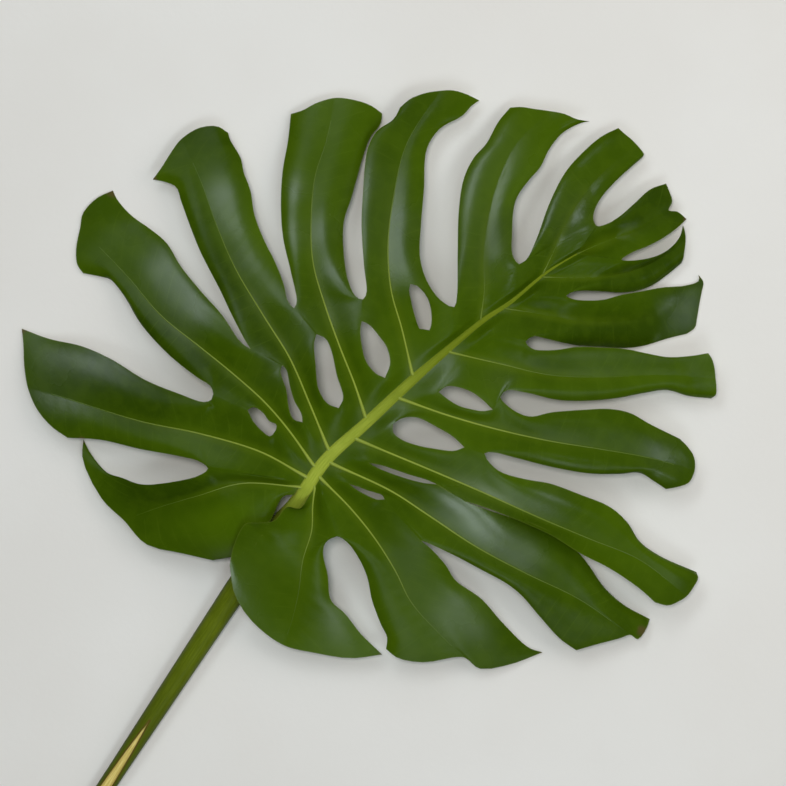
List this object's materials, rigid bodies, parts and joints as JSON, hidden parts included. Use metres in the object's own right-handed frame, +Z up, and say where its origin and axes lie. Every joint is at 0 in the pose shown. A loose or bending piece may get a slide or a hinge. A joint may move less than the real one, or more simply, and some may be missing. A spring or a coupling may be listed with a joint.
{
  "type": "monstera leaf",
  "caption": "Cut monstera leaf lying face up: a broad arched blade with deep slits, inner holes and raised veins, on a round stalk that runs on through it as the midrib.",
  "frame": {"origin": "middle of the leaf's box, on the surface that the leaf lies on", "axes": "+Y along the midrib towards the blade's tip, +Z up out of the leaf's upper face, +X to the right seen from above"},
  "size_m": [0.34, 0.4336, 0.0376],
  "materials": {
    "blade": "waxy, softly glossy dark green with paler veins",
    "stalk": "smooth satin olive green, paler along the midrib"
  },
  "bodies": {
    "root": {"leaf_blade": "blade", "petiole_midrib": "stalk"}
  },
  "joints": []
}
